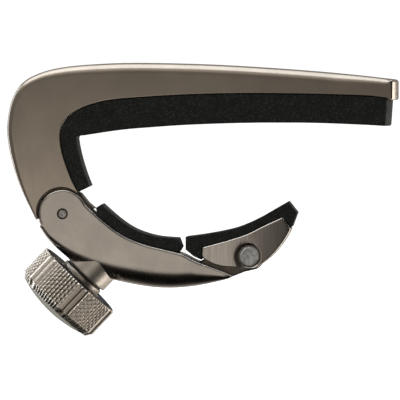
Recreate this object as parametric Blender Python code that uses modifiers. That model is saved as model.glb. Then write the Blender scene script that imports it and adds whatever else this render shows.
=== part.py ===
"""Guitar capo: a C-shaped frame with a string pad, and a hinged lower arm with a self-aligning shoe.

The capo stands upright in the XZ plane, mirrored about Y = 0. X runs along the upper bar towards its
tip, and Z runs up. The origin is the crown of the string pad's contact face. A knurled knob turns a
screw in the boss under the arm. The screw runs in a barrel nut held by the frame's tongue, between
the arm's cheeks, so that turning the knob swings the arm about its pin.

Lengths below are in millimetres and angles in degrees; MM turns lengths into Blender's metres.
"""

import math

import bmesh
import bpy
from mathutils import Matrix, Vector

MM = 0.001

# Widths across the capo, measured from its middle plane.
BODY_HALF = 5.0
EDGE_RADIUS = 0.9
PAD_HALF = 4.9
TONGUE_HALF = 3.0
FORK_HALF = 3.4
ARM_NOSE_HALF = 2.7
SHOE_SLOT_HALF = 3.1
NUT_SLOT_HALF = 1.75
SPRING_SLOT_HALF = 1.3

# Where one piece rests on another without a joint between them.
SEAT = 0.06

# A washer's radial fit on its pin, and the gap at each of its faces.
WASHER_FIT = 0.1
WASHER_GAP = 0.05

# The arm's hinge, at the lower end of the frame.
PIVOT = (-44.0, -18.26)
FRAME_ARC_RADIUS = 5.02
ARM_END_RADIUS = 4.85
TONGUE_HUB_RADIUS = 4.7
PIN_RADIUS = 1.05
PIN_HALF_LENGTH = 4.75
BUSH_RADIUS = 1.5
PIVOT_WASHER_RADIUS = 3.0
PIN_FIT = 0.04
THROUGH = 6.0

# The adjusting screw: M3 with a pitch of 0.5, and its axis runs up and to the right.
SCREW_ANGLE = 46.58
SCREW_RADIUS = 1.5
SCREW_TIP = 9.7
BOSS_FACE = (-39.69, -30.48)
BOSS_RADIUS = 4.9
BOSS_FLOOR = 1.6
BOSS_BUSH_RADIUS = 2.24
NUT_DISTANCE = 4.9
NUT_RADIUS = 2.05
NUT_FIT = 0.05
EAR_RADIUS = 2.7
EAR_CLEARANCE = 0.4

# The knob stack, as distances back along the screw's axis from the boss face.
WASHER_BACK = 0.32
COLLAR_BACK = 1.44
COLLAR_RADIUS = 4.64
KNOB_BACK = 1.5
KNOB_RADIUS = 9.4
KNOB_LENGTH = 6.3
KNOB_CHAMFER = 1.17
CAP_RADIUS = 8.3
CAP_RISE = 1.42
CAP_DEPTH = 1.0
HEAD_SEAT = KNOB_BACK + 3.0
HEAD_WELL_RADIUS = 3.2
HEAD_RADIUS = 2.9
HEAD_HEIGHT = 2.4
FLUTE_COUNT = 6
FLUTE_FIRST = 17.0
FLUTE_RADIUS = 0.75

# The shoe's rivet, at the free end of the arm.
RIVET = (-6.5, -26.76)
RIVET_RADIUS = 1.5
RIVET_HEAD_RADIUS = 2.0
RIVET_HEAD_INNER = 4.16
RIVET_HALF_LENGTH = 4.85
NOSE_RADIUS = 2.9
SHOE_WASHER_RADIUS = 2.6

# The arm's web under its pad, the space in which the tongue swings, and the torsion spring at the pin.
WEB = 0.8
FORK_REACH = 14.9
SPRING_WIRE = 0.2
SPRING_COIL_RADIUS = 1.95
SPRING_TURNS = 4
SPRING_PITCH = 0.5

PARTS = "guitar_capo"
CUTTERS = "guitar_capo_cutters"

FINISHES = {
    "cast_metal": ((0.20, 0.17, 0.14), 0.38, 1.0),
    "turned_metal": ((0.38, 0.34, 0.30), 0.32, 1.0),
    "bright_steel": ((0.62, 0.60, 0.57), 0.28, 1.0),
    "cap_metal": ((0.34, 0.34, 0.30), 0.40, 1.0),
    "bronze": ((0.55, 0.38, 0.20), 0.40, 1.0),
    "spring_steel": ((0.45, 0.45, 0.46), 0.30, 1.0),
    "nylon": ((0.05, 0.05, 0.05), 0.55, 0.0),
    "rubber": ((0.018, 0.020, 0.017), 0.85, 0.0),
}


# ---------------------------------------------------------------- outlines


def polar(centre, radius, angle):
    """The point at this radius and angle from a centre, in the XZ plane."""
    turn = math.radians(angle)
    return centre[0] + radius * math.cos(turn), centre[1] + radius * math.sin(turn)


def on_screw(distance, side=0.0):
    """A point along the screw's axis from the boss face, and to the right of the axis by side."""
    x, z = polar(BOSS_FACE, distance, SCREW_ANGLE)
    return polar((x, z), side, SCREW_ANGLE - 90)


NUT = on_screw(NUT_DISTANCE)


def arc(centre, radius, start, end, steps):
    return [polar(centre, radius, start + (end - start) * i / steps) for i in range(steps + 1)]


def smooth(knots, steps=4):
    """A Catmull-Rom curve through all the knots, with this many steps between neighbours."""
    ends = [knots[0], *knots, knots[-1]]
    points = []
    for a, b, c, d in zip(ends, ends[1:], ends[2:], ends[3:]):
        for i in range(steps):
            t = i / steps
            weights = (
                (-t + 2 * t**2 - t**3) / 2,
                (2 - 5 * t**2 + 3 * t**3) / 2,
                (t + 4 * t**2 - 3 * t**3) / 2,
                (-(t**2) + t**3) / 2,
            )
            points.append(tuple(sum(w * p[k] for w, p in zip(weights, (a, b, c, d))) for k in (0, 1)))
    return [*points, knots[-1]]


def beside(points, distance):
    """The polyline moved to its right-hand side, as one walks along it."""
    moved = []
    for i, (x, z) in enumerate(points):
        before = points[max(i - 1, 0)]
        after = points[min(i + 1, len(points) - 1)]
        run = Vector((after[0] - before[0], after[1] - before[1])).normalized()
        moved.append((x + run.y * distance, z - run.x * distance))
    return moved


FRAME_BACK = [
    (23.2, 8.6),
    (10.8, 9.9),
    (-2.0, 10.9),
    (-14.8, 11.62),
    (-27.6, 11.92),
    (-36.0, 11.76),
    (-43.6, 11.12),
    (-48.6, 9.9),
    (-52.15, 7.85),
    (-54.2, 4.5),
    (-55.1, 0.0),
    (-55.0, -3.7),
    (-53.94, -8.66),
    (-52.24, -13.5),
    (-49.95, -18.2),
]
FRAME_LIP = [(22.45, 5.4), (22.45, 4.72), (22.6, 4.56), (23.0, 4.56), (23.14, 4.72), (23.14, 5.4)]
FRAME_TAIL = [(-50.2, -17.8), (-49.75, -18.7), (-49.3, -19.5)]
FRAME_BAR_UNDER = [(23.0, 4.98), (15.6, 5.34), (3.6, 5.66), (-8.4, 5.76), (-20.4, 5.44), (-32.4, 4.68)]
FRAME_BEND = [
    (-32.4, 4.68),
    (-36.4, 4.04),
    (-40.4, 2.7),
    (-43.2, 0.75),
    (-44.32, -2.1),
    (-43.97, -5.8),
    (-42.52, -10.2),
    (-40.95, -13.8),
]
PAD_UNDER = [(4.0, 0.0), (9.2, -0.12), (15.6, -0.38), (21.5, -0.64)]
PAD_UNDER_HEEL = [(-40.0, -2.62), (-32.4, -1.48), (-26.0, -0.92), (-19.6, -0.48), (-11.0, -0.14), (-4.0, 0.0)]
PAD_LEG = [(-38.52, -12.72), (-39.58, -9.97), (-40.35, -7.45), (-40.9, -5.2), (-41.2, -3.4)]
ARM_INNER = [
    (-39.4, -16.5),
    (-37.0, -18.66),
    (-33.66, -21.34),
    (-30.8, -23.02),
    (-27.44, -24.32),
    (-23.06, -25.42),
    (-20.12, -26.22),
    (-17.6, -27.5),
    (-15.5, -28.38),
]
ARM_OUTER = [
    (-7.6, -29.9),
    (-11.6, -31.46),
    (-18.0, -32.82),
    (-24.4, -33.14),
    (-30.85, -32.25),
    (-36.5, -30.73),
    (-41.32, -28.4),
    (-44.72, -25.63),
    (-47.16, -23.03),
    (-48.6, -20.76),
]
ARM_PAD_TOP = [(-36.15, -16.32), (-32.62, -19.37), (-29.37, -21.42), (-25.27, -22.73), (-20.85, -23.15)]
SHOE_TOP = [(-15.3, -24.74), (-11.3, -23.66), (-7.22, -22.34), (-3.8, -20.66), (-0.5, -19.14)]
SHOE_BACK = [(1.68, -21.5), (0.1, -24.18), (-2.1, -26.76), (-4.96, -29.06)]
SHOE_PAD_TOP = [(-19.32, -22.88), (-14.8, -22.24), (-10.0, -21.26), (-6.8, -20.12), (-4.0, -18.76)]
SHOE_PAD_LIP = (1.2, -15.75)


# ---------------------------------------------------------------- tools


def clear_scene():
    for obj in list(bpy.data.objects):
        bpy.data.objects.remove(obj, do_unlink=True)


def make_collection(name):
    collection = bpy.data.collections.new(name)
    bpy.context.scene.collection.children.link(collection)
    return collection


def make_material(name):
    colour, roughness, metallic = FINISHES[name]
    material = bpy.data.materials.new(name)
    material.use_nodes = True
    shader = material.node_tree.nodes["Principled BSDF"]
    shader.inputs["Base Color"].default_value = (*colour, 1.0)
    shader.inputs["Roughness"].default_value = roughness
    shader.inputs["Metallic"].default_value = metallic
    material.diffuse_color = (*colour, 1.0)
    return material


def finish(obj, material):
    """Files a piece with the capo's parts, gives it its own material and shades its round faces smooth."""
    own = make_material(material)
    own.name = f"{obj.name}_{material}"
    obj.data.materials.clear()
    obj.data.materials.append(own)
    bpy.data.collections[PARTS].objects.link(obj)
    if obj.type == "MESH":
        obj.data.shade_smooth()
        obj.data.set_sharp_from_angle(angle=math.radians(35))
    return obj


def as_cutter(obj):
    bpy.data.collections[CUTTERS].objects.link(obj)
    obj.hide_render = True
    obj.display_type = "WIRE"
    return obj


def plate(name, outline, half, middle=0.0):
    """A flat piece with this outline in the XZ plane, reaching half each way from y = middle."""
    curve = bpy.data.curves.new(f"{name}_outline", "CURVE")
    curve.dimensions = "2D"
    curve.fill_mode = "BOTH"
    curve.extrude = half * MM
    spline = curve.splines.new("POLY")
    spline.points.add(len(outline) - 1)
    for point, (x, z) in zip(spline.points, outline):
        point.co = (x * MM, z * MM, 0, 1)
    spline.use_cyclic_u = True
    flat = bpy.data.objects.new(f"{name}_flat", curve)
    bpy.context.scene.collection.objects.link(flat)
    flat.matrix_world = Matrix.Translation((0, middle * MM, 0)) @ Matrix.Rotation(math.pi / 2, 4, "X")
    bpy.context.view_layer.update()
    mesh = bpy.data.meshes.new_from_object(flat.evaluated_get(bpy.context.evaluated_depsgraph_get()))
    mesh.transform(flat.matrix_world)
    bpy.data.objects.remove(flat)
    weld_plate(mesh)
    mesh.name = name
    return bpy.data.objects.new(name, mesh)


def weld_plate(mesh):
    """Joins a filled outline's caps to its rim, and makes each cap one face."""
    bm = bmesh.new()
    bm.from_mesh(mesh)
    bmesh.ops.remove_doubles(bm, verts=bm.verts, dist=1e-6)
    bm.normal_update()
    for side in (-1, 1):
        cap = [face for face in bm.faces if face.normal.y * side > 0.999]
        bmesh.ops.dissolve_faces(bm, faces=cap)
    bmesh.ops.recalc_face_normals(bm, faces=bm.faces)
    bm.to_mesh(mesh)
    bm.free()


def turned(name, profile, base, direction, steps=40, ring=False):
    """A profile of (radius, height) points turned about direction, with height 0 at base.

    The profile runs down its outer side. A ring's profile is closed; any other starts and ends on the axis.
    """
    mesh = bpy.data.meshes.new(name)
    bm = bmesh.new()
    verts = [bm.verts.new((radius * MM, 0, height * MM)) for radius, height in profile]
    pairs = list(zip(verts, verts[1:]))
    if ring:
        pairs.append((verts[-1], verts[0]))
    for pair in pairs:
        bm.edges.new(pair)
    bm.to_mesh(mesh)
    bm.free()
    obj = bpy.data.objects.new(name, mesh)
    lathe = obj.modifiers.new("turn", "SCREW")
    lathe.axis = "Z"
    lathe.steps = steps
    lathe.render_steps = steps
    lathe.use_merge_vertices = True
    lathe.merge_threshold = 1e-6
    obj.matrix_world = place(base, direction)
    return obj


def place(base, direction):
    turn = Vector((0, 0, 1)).rotation_difference(Vector(direction).normalized())
    return Matrix.Translation(Vector(base) * MM) @ turn.to_matrix().to_4x4()


def across(point, y=0.0):
    """A point of the XZ plane, at this y."""
    return point[0], y, point[1]


def screw_direction(sign=1):
    x, z = polar((0, 0), sign, SCREW_ANGLE)
    return x, 0, z


def rod(name, radius, base, direction, low, high, steps=40):
    """A plain round bar, for holes."""
    return turned(name, [(0, high), (radius, high), (radius, low), (0, low)], base, direction, steps)


def hole(name, radius, centre):
    """A cutter straight across the capo."""
    return rod(name, radius, across(centre), (0, 1, 0), -THROUGH, THROUGH)


def washer(name, centre, direction, inner, outer, low, high):
    profile = [(inner, high), (outer, high), (outer, low), (inner, low)]
    return turned(name, profile, centre, direction, ring=True)


def cut(piece, cutter, operation="DIFFERENCE"):
    as_cutter(cutter)
    modifier = piece.modifiers.new(cutter.name, "BOOLEAN")
    modifier.operation = operation
    modifier.solver = "EXACT"
    modifier.object = cutter


def round_edges(piece, width, segments=2):
    bevel = piece.modifiers.new("rounded_edges", "BEVEL")
    bevel.width = width * MM
    bevel.segments = segments
    bevel.limit_method = "ANGLE"
    bevel.angle_limit = math.radians(50)


def hang_on(empty_name, point, pieces):
    """Parents pieces to an empty that stands on their joint's axis."""
    pivot = bpy.data.objects.new(empty_name, None)
    pivot.location = Vector(across(point)) * MM
    pivot.empty_display_size = 0.004
    bpy.data.collections[PARTS].objects.link(pivot)
    bpy.context.view_layer.update()
    for piece in pieces:
        piece.parent = pivot
        piece.matrix_parent_inverse = pivot.matrix_world.inverted()
    return pivot


# ---------------------------------------------------------------- frame


def bend_line():
    """The frame's inner edge, from the bar's tip to the foot of its leg."""
    return [*smooth(FRAME_BAR_UNDER, 3)[:-1], *smooth(FRAME_BEND, 4)]


def tongue_outline():
    """The frame's tongue: a hub about the pin, a neck to the nut's ears and a shoulder under the leg."""
    shoulder = [
        (-48.2, -13.0),
        (-42.4, -12.6),
        (-41.05, -13.98),
        (-40.5, -14.2),
        (-38.9, -16.15),
        (-37.62, -17.25),
    ]
    heading = math.degrees(math.atan2(NUT[1] - PIVOT[1], NUT[0] - PIVOT[0]))
    neck = math.degrees(math.asin(EAR_RADIUS / TONGUE_HUB_RADIUS))
    return [
        *shoulder,
        *arc(PIVOT, TONGUE_HUB_RADIUS, 9, heading + neck, 6),
        *arc(NUT, EAR_RADIUS, heading + 90, heading - 90, 14),
        *arc(PIVOT, TONGUE_HUB_RADIUS, heading - neck, -195, 16),
    ]


def make_frame():
    """The C-shaped frame, with the tongue that carries the pin and the nut between the arm's cheeks."""
    outline = [
        *smooth(FRAME_BACK, 4),
        *arc(PIVOT, FRAME_ARC_RADIUS, 189, 53, 14),
        *reversed(bend_line()),
    ]
    frame = plate("frame", outline, BODY_HALF)
    round_edges(frame, EDGE_RADIUS, 3)
    tail = [*FRAME_TAIL, *arc(PIVOT, FRAME_ARC_RADIUS, 192, 180, 3)]
    cut(frame, plate("frame_tail", tail, BODY_HALF - EDGE_RADIUS), "UNION")
    cut(frame, plate("frame_lip", FRAME_LIP, BODY_HALF - EDGE_RADIUS), "UNION")
    cut(frame, plate("frame_tongue", tongue_outline(), TONGUE_HALF), "UNION")
    cut(frame, hole("bush_hole", BUSH_RADIUS + SEAT, PIVOT))
    cut(frame, hole("nut_hole", NUT_RADIUS + NUT_FIT, NUT))
    heading = math.degrees(math.atan2(NUT[1] - PIVOT[1], NUT[0] - PIVOT[0]))
    fork_end = polar(NUT, 2.6, heading + 180)
    fork = [
        *arc(NUT, EAR_RADIUS + EAR_CLEARANCE, heading - 90, heading + 90, 12),
        polar(fork_end, EAR_RADIUS + EAR_CLEARANCE, heading + 90),
        polar(fork_end, EAR_RADIUS + 4 * EAR_CLEARANCE, heading - 90),
    ]
    cut(frame, plate("nut_fork", fork, NUT_SLOT_HALF))
    pocket = [
        *arc(PIVOT, 2.55, -52, 240, 24),
        polar(PIVOT, 7.0, -120),
        polar(PIVOT, 9.5, -90),
        polar(PIVOT, 9.5, -60),
    ]
    cut(frame, plate("spring_pocket", pocket, SPRING_SLOT_HALF))
    return finish(frame, "cast_metal")


def make_string_pad():
    """The rubber pad under the bar, which turns down the inside of the leg."""
    seat = beside(bend_line(), -SEAT)
    top = [(22.12, seat[0][1] + 0.03), *[p for p in seat[1:-1] if p[0] < 21.6]]
    outline = [
        *top,
        (-40.72, -13.78),
        *smooth(PAD_LEG, 3),
        *arc((-40.7, -3.17), 0.5, 190, 100, 4),
        *smooth(PAD_UNDER_HEEL, 3)[1:],
        *smooth(PAD_UNDER, 3),
    ]
    pad = plate("string_pad", outline, PAD_HALF)
    round_edges(pad, 0.25, 1)
    return finish(pad, "rubber")


def make_pivot_bush():
    bush = washer("pivot_bush", across(PIVOT), (0, 1, 0), PIN_RADIUS + 0.05, BUSH_RADIUS, -2.95, 2.95)
    return finish(bush, "bronze")


def make_return_spring():
    """The torsion spring round the bush. It pushes the arm open as the knob is let out."""
    first, last = -25.0, 212.6 + 360 * (SPRING_TURNS - 1)
    half = SPRING_PITCH * SPRING_TURNS / 2
    count = 14 * SPRING_TURNS
    coil = []
    for i in range(count + 1):
        share = i / count
        angle = first + (last - first) * share
        coil.append(across(polar(PIVOT, SPRING_COIL_RADIUS, angle), (2 * share - 1) * half))
    route = [across(polar(PIVOT, 5.0, -92), -half), *coil, across(polar(PIVOT, 8.3, -70), half)]
    curve = bpy.data.curves.new("return_spring", "CURVE")
    curve.dimensions = "3D"
    curve.bevel_depth = SPRING_WIRE * MM
    curve.bevel_resolution = 1
    curve.use_fill_caps = True
    spline = curve.splines.new("POLY")
    spline.points.add(len(route) - 1)
    for point, place_at in zip(spline.points, route):
        point.co = (*(Vector(place_at) * MM), 1)
    return finish(bpy.data.objects.new("return_spring", curve), "spring_steel")


# ---------------------------------------------------------------- arm


def arm_inner_line():
    return smooth(ARM_INNER, 3)


def fork_outline():
    """The space between the arm's cheeks: under its web, round the tongue and down to the boss floor."""
    under = [p for p in beside(arm_inner_line(), WEB) if math.dist(p, PIVOT) < FORK_REACH]
    under = [p for p in under if p[0] > -37.6]
    last = math.degrees(math.atan2(under[-1][1] - PIVOT[1], under[-1][0] - PIVOT[0]))
    floor = on_screw(BOSS_FLOOR, 3.2)
    first = math.degrees(math.atan2(floor[1] - PIVOT[1], floor[0] - PIVOT[0]))
    return [
        polar(PIVOT, 9.0, 4.5),
        *under,
        *arc(PIVOT, FORK_REACH, last - 1, first, 8),
        on_screw(BOSS_FLOOR, -BOSS_RADIUS - 0.2),
        on_screw(-4.0, -BOSS_RADIUS - 0.2),
        (-56.0, -24.0),
        (-56.0, -8.0),
        (-36.0, -8.0),
    ]


def make_arm():
    """The arm: two cheeks about the tongue, a web under its pad, the screw's boss and a narrow nose."""
    outline = [
        *arc(PIVOT, ARM_END_RADIUS, 205, 38, 18),
        *arm_inner_line(),
        (-14.95, -27.1),
        *arc(RIVET, NOSE_RADIUS, 112, -62, 14),
        *smooth(ARM_OUTER, 4),
    ]
    arm = plate("arm", outline, BODY_HALF)
    round_edges(arm, EDGE_RADIUS, 3)
    boss = rod("boss", BOSS_RADIUS, across(BOSS_FACE), screw_direction(), 0, 4.5)
    cut(arm, boss, "UNION")
    cut(arm, plate("fork_space", fork_outline(), FORK_HALF))
    cut(arm, hole("pin_hole", PIN_RADIUS + PIN_FIT, PIVOT))
    cut(arm, rod("boss_hole", BOSS_BUSH_RADIUS + SEAT, across(BOSS_FACE), screw_direction(), -1, 3))
    cut(arm, hole("rivet_hole", RIVET_RADIUS + SEAT, RIVET))
    above_nose = [
        (-15.6, -28.34),
        (-11.5, -29.92),
        (-9.4, -30.9),
        (-8.0, -34.0),
        (0.0, -34.0),
        (0.0, -20.0),
        (-15.6, -20.0),
    ]
    depth = BODY_HALF + 1 - ARM_NOSE_HALF
    for side, name in ((-1, "nose_side_front"), (1, "nose_side_rear")):
        cut(arm, plate(name, above_nose, depth / 2, side * (ARM_NOSE_HALF + depth / 2)))
    return finish(arm, "cast_metal")


def make_arm_pad():
    base = [p for p in beside(arm_inner_line(), -SEAT) if -37.1 < p[0] < -21.0]
    outline = [
        (-37.16, -17.68),
        (-37.3, -17.05),
        *smooth(ARM_PAD_TOP, 4),
        (-20.15, -24.95),
        (-20.6, -25.8),
        *reversed(base),
    ]
    pad = plate("arm_pad", outline, PAD_HALF)
    round_edges(pad, 0.2, 1)
    return finish(pad, "rubber")


def make_pivot_pin():
    edge = 0.2
    profile = [
        (0, PIN_HALF_LENGTH),
        (PIN_RADIUS - edge, PIN_HALF_LENGTH),
        (PIN_RADIUS, PIN_HALF_LENGTH - edge),
        (PIN_RADIUS, edge - PIN_HALF_LENGTH),
        (PIN_RADIUS - edge, -PIN_HALF_LENGTH),
        (0, -PIN_HALF_LENGTH),
    ]
    return finish(turned("pivot_pin", profile, across(PIVOT), (0, 1, 0)), "bright_steel")


def make_pivot_washer(name, side):
    low, high = sorted((side * (TONGUE_HALF + WASHER_GAP), side * (FORK_HALF - WASHER_GAP)))
    ring = washer(name, across(PIVOT), (0, 1, 0), PIN_RADIUS + WASHER_FIT, PIVOT_WASHER_RADIUS, low, high)
    return finish(ring, "nylon")


def make_boss_bush():
    """The plain bush that guides the screw through the boss."""
    inner = SCREW_RADIUS + SEAT
    bush = washer("boss_bush", across(BOSS_FACE), screw_direction(), inner, BOSS_BUSH_RADIUS, 0.04, 1.5)
    return finish(bush, "bronze")


def make_thrust_washer():
    inner = SCREW_RADIUS + WASHER_FIT
    outer = COLLAR_RADIUS - 0.4
    ring = washer("thrust_washer", across(BOSS_FACE), screw_direction(-1), inner, outer, SEAT, WASHER_BACK)
    return finish(ring, "nylon")


# ---------------------------------------------------------------- shoe


def make_shoe():
    """The pivoting shoe: a channel over the arm's nose, with a solid toe."""
    outline = [
        (-16.05, -26.7),
        (-15.85, -25.1),
        *smooth(SHOE_TOP, 3),
        (0.55, -19.5),
        (1.4, -20.7),
        *smooth(SHOE_BACK, 3),
        (-8.44, -29.06),
        (-11.8, -28.88),
        (-13.9, -28.3),
        (-15.6, -27.5),
    ]
    shoe = plate("shoe", outline, BODY_HALF)
    round_edges(shoe, 0.6, 2)
    web_under = beside(smooth(SHOE_TOP[:3], 3), 1.0)
    slot = [
        (-17.5, -25.6),
        *web_under[:-1],
        *arc(RIVET, NOSE_RADIUS + 0.4, 84, -70, 12),
        (-5.0, -34.0),
        (-17.5, -34.0),
    ]
    cut(shoe, plate("shoe_channel", slot, SHOE_SLOT_HALF))
    cut(shoe, hole("shoe_rivet_hole", RIVET_RADIUS + PIN_FIT, RIVET))
    for side, name in ((-1, "rivet_seat_front"), (1, "rivet_seat_rear")):
        seat = across(RIVET, side * (RIVET_HEAD_INNER - SEAT))
        cut(shoe, rod(name, RIVET_HEAD_RADIUS + SEAT, seat, (0, side, 0), 0, 3))
    return finish(shoe, "cast_metal")


def make_shoe_pad():
    seat = beside(smooth(SHOE_TOP, 3), -SEAT)
    outline = [
        (-19.32, -25.4),
        *smooth(SHOE_PAD_TOP, 4),
        SHOE_PAD_LIP,
        (3.02, -18.04),
        (1.98, -20.8),
        (1.66, -20.9),
        (0.68, -19.4),
        *reversed(seat),
        (-16.0, -25.0),
        (-16.12, -26.95),
        (-16.2, -27.4),
        (-17.7, -26.72),
    ]
    pad = plate("shoe_pad", outline, PAD_HALF)
    round_edges(pad, 0.2, 1)
    return finish(pad, "rubber")


def make_shoe_rivet():
    edge = 0.15
    profile = [
        (0, RIVET_HALF_LENGTH),
        (RIVET_HEAD_RADIUS - edge, RIVET_HALF_LENGTH),
        (RIVET_HEAD_RADIUS, RIVET_HALF_LENGTH - edge),
        (RIVET_HEAD_RADIUS, RIVET_HEAD_INNER),
        (RIVET_RADIUS, RIVET_HEAD_INNER),
        (RIVET_RADIUS, -RIVET_HEAD_INNER),
        (RIVET_HEAD_RADIUS, -RIVET_HEAD_INNER),
        (RIVET_HEAD_RADIUS, edge - RIVET_HALF_LENGTH),
        (RIVET_HEAD_RADIUS - edge, -RIVET_HALF_LENGTH),
        (0, -RIVET_HALF_LENGTH),
    ]
    return finish(turned("shoe_rivet", profile, across(RIVET), (0, 1, 0)), "bright_steel")


def make_shoe_washer(name, side):
    low, high = sorted((side * (ARM_NOSE_HALF + WASHER_GAP), side * (SHOE_SLOT_HALF - WASHER_GAP)))
    ring = washer(name, across(RIVET), (0, 1, 0), RIVET_RADIUS + WASHER_FIT, SHOE_WASHER_RADIUS, low, high)
    return finish(ring, "nylon")


# ---------------------------------------------------------------- nut and knob


def make_barrel_nut():
    """The cross nut in the tongue's ears, drilled across for the screw."""
    half = TONGUE_HALF - 0.1
    nut = rod("barrel_nut", NUT_RADIUS, across(NUT), (0, 1, 0), -half, half)
    cut(nut, rod("nut_thread", SCREW_RADIUS + 0.12, across(NUT), screw_direction(), -4, 4, 32))
    return finish(nut, "bright_steel")


def make_knob_grip():
    """The knob's fluted grip, with a hub for the screw's head and a seat for the cap."""
    front = KNOB_BACK + KNOB_LENGTH
    nose = front + KNOB_CHAMFER
    floor = nose - CAP_DEPTH
    profile = [
        (SCREW_RADIUS + SEAT, HEAD_SEAT),
        (HEAD_WELL_RADIUS, HEAD_SEAT),
        (HEAD_WELL_RADIUS, floor),
        (CAP_RADIUS + SEAT, floor),
        (CAP_RADIUS + SEAT, nose),
        (CAP_RADIUS + 0.25, nose),
        (KNOB_RADIUS, front),
        (KNOB_RADIUS, KNOB_BACK + 0.4),
        (KNOB_RADIUS - 0.4, KNOB_BACK),
        (8.0, KNOB_BACK),
        (7.6, KNOB_BACK + 0.9),
        (5.4, KNOB_BACK + 0.9),
        (5.0, KNOB_BACK),
        (SCREW_RADIUS + SEAT, KNOB_BACK),
    ]
    grip = turned("knob_grip", profile, across(BOSS_FACE), screw_direction(-1), 72, ring=True)
    for i in range(FLUTE_COUNT):
        turn = math.radians(FLUTE_FIRST + 60 * i)
        offset = Vector((math.cos(turn), math.sin(turn), 0)) * (KNOB_RADIUS + 0.25)
        flute = rod(f"flute_{i + 1}", FLUTE_RADIUS, (0, 0, 0), (0, 0, 1), 0, front + 2, 16)
        flute.matrix_world = place(across(BOSS_FACE), screw_direction(-1)) @ Matrix.Translation(offset * MM)
        cut(grip, flute)
    return finish(grip, "turned_metal")


def make_knob_cap():
    """The low dome that closes the knob's face."""
    nose = KNOB_BACK + KNOB_LENGTH + KNOB_CHAMFER
    seat = nose - CAP_DEPTH + SEAT
    sphere = (CAP_RADIUS**2 + CAP_RISE**2) / (2 * CAP_RISE)
    dome = [(CAP_RADIUS * i / 8, CAP_RADIUS * i / 8) for i in range(9)]
    profile = [(r, nose + CAP_RISE - sphere + math.sqrt(sphere**2 - s**2)) for r, s in dome]
    profile += [(CAP_RADIUS, seat), (0, seat)]
    return finish(turned("knob_cap", profile, across(BOSS_FACE), screw_direction(-1), 48), "cap_metal")


def make_knob_collar():
    """The shoulder that bears on the thrust washer."""
    profile = [
        (SCREW_RADIUS + SEAT, COLLAR_BACK),
        (COLLAR_RADIUS, COLLAR_BACK),
        (COLLAR_RADIUS, WASHER_BACK + 0.3),
        (COLLAR_RADIUS - 0.2, WASHER_BACK + 0.06),
        (SCREW_RADIUS + SEAT, WASHER_BACK + 0.06),
    ]
    collar = turned("knob_collar", profile, across(BOSS_FACE), screw_direction(-1), 48, ring=True)
    return finish(collar, "turned_metal")


def make_adjusting_screw():
    """The screw, with its round head sunk in the knob and its point beyond the nut."""
    head = -HEAD_SEAT - SEAT
    profile = [
        (0, SCREW_TIP),
        (SCREW_RADIUS - 0.4, SCREW_TIP),
        (SCREW_RADIUS, SCREW_TIP - 0.4),
        (SCREW_RADIUS, head),
        (HEAD_RADIUS, head),
        (HEAD_RADIUS, head - HEAD_HEIGHT),
        (0, head - HEAD_HEIGHT),
    ]
    screw = turned("adjusting_screw", profile, across(BOSS_FACE), screw_direction(), 32)
    return finish(screw, "bright_steel")


def main():
    clear_scene()
    make_collection(PARTS)
    make_collection(CUTTERS)
    make_frame()
    make_string_pad()
    make_pivot_bush()
    make_return_spring()
    arm_pieces = [
        make_arm(),
        make_arm_pad(),
        make_pivot_pin(),
        make_pivot_washer("pivot_washer_front", -1),
        make_pivot_washer("pivot_washer_rear", 1),
        make_boss_bush(),
        make_thrust_washer(),
    ]
    shoe_pieces = [
        make_shoe(),
        make_shoe_pad(),
        make_shoe_rivet(),
        make_shoe_washer("shoe_washer_front", -1),
        make_shoe_washer("shoe_washer_rear", 1),
    ]
    knob_pieces = [make_knob_grip(), make_knob_cap(), make_knob_collar(), make_adjusting_screw()]
    arm_pivot = hang_on("arm_pivot", PIVOT, arm_pieces)
    shoe_pivot = hang_on("shoe_pivot", RIVET, shoe_pieces)
    knob_axis = hang_on("knob_spin", BOSS_FACE, knob_pieces)
    hang_on("nut_pivot", NUT, [make_barrel_nut()])
    for joint in (shoe_pivot, knob_axis):
        joint.parent = arm_pivot
        joint.matrix_parent_inverse = arm_pivot.matrix_world.inverted()


main()
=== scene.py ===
"""The guitar capo's visual model: pewter-grey castings, black rubber pads and a knurled knob.

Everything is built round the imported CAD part, in its frame: X along the upper bar towards its tip, Z up,
mirrored about Y = 0, with the origin at the crown of the string pad. Lengths below are in millimetres.
"""

import math
from contextlib import contextmanager

import bmesh
import bpy
from mathutils import Matrix, Vector


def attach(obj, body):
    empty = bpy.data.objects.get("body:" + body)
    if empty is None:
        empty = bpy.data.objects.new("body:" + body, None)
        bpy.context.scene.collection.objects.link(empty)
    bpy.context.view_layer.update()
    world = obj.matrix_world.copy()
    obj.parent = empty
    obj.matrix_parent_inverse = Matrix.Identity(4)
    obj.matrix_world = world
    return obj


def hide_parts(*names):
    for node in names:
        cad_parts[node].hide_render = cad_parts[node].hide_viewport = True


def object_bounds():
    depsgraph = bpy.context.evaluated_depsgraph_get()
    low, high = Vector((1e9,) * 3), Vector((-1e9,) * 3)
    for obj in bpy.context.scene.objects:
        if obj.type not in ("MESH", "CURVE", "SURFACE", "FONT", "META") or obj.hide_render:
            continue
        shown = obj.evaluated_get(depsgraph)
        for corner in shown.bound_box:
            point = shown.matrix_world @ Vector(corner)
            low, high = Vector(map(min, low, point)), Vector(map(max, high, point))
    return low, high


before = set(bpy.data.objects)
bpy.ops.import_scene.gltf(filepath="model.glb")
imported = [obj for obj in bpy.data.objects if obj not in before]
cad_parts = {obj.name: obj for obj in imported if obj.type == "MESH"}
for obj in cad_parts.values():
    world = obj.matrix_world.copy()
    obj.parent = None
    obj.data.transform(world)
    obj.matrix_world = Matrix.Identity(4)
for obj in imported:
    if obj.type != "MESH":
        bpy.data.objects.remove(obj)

CAD_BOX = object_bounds()
MM = 0.001

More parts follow.
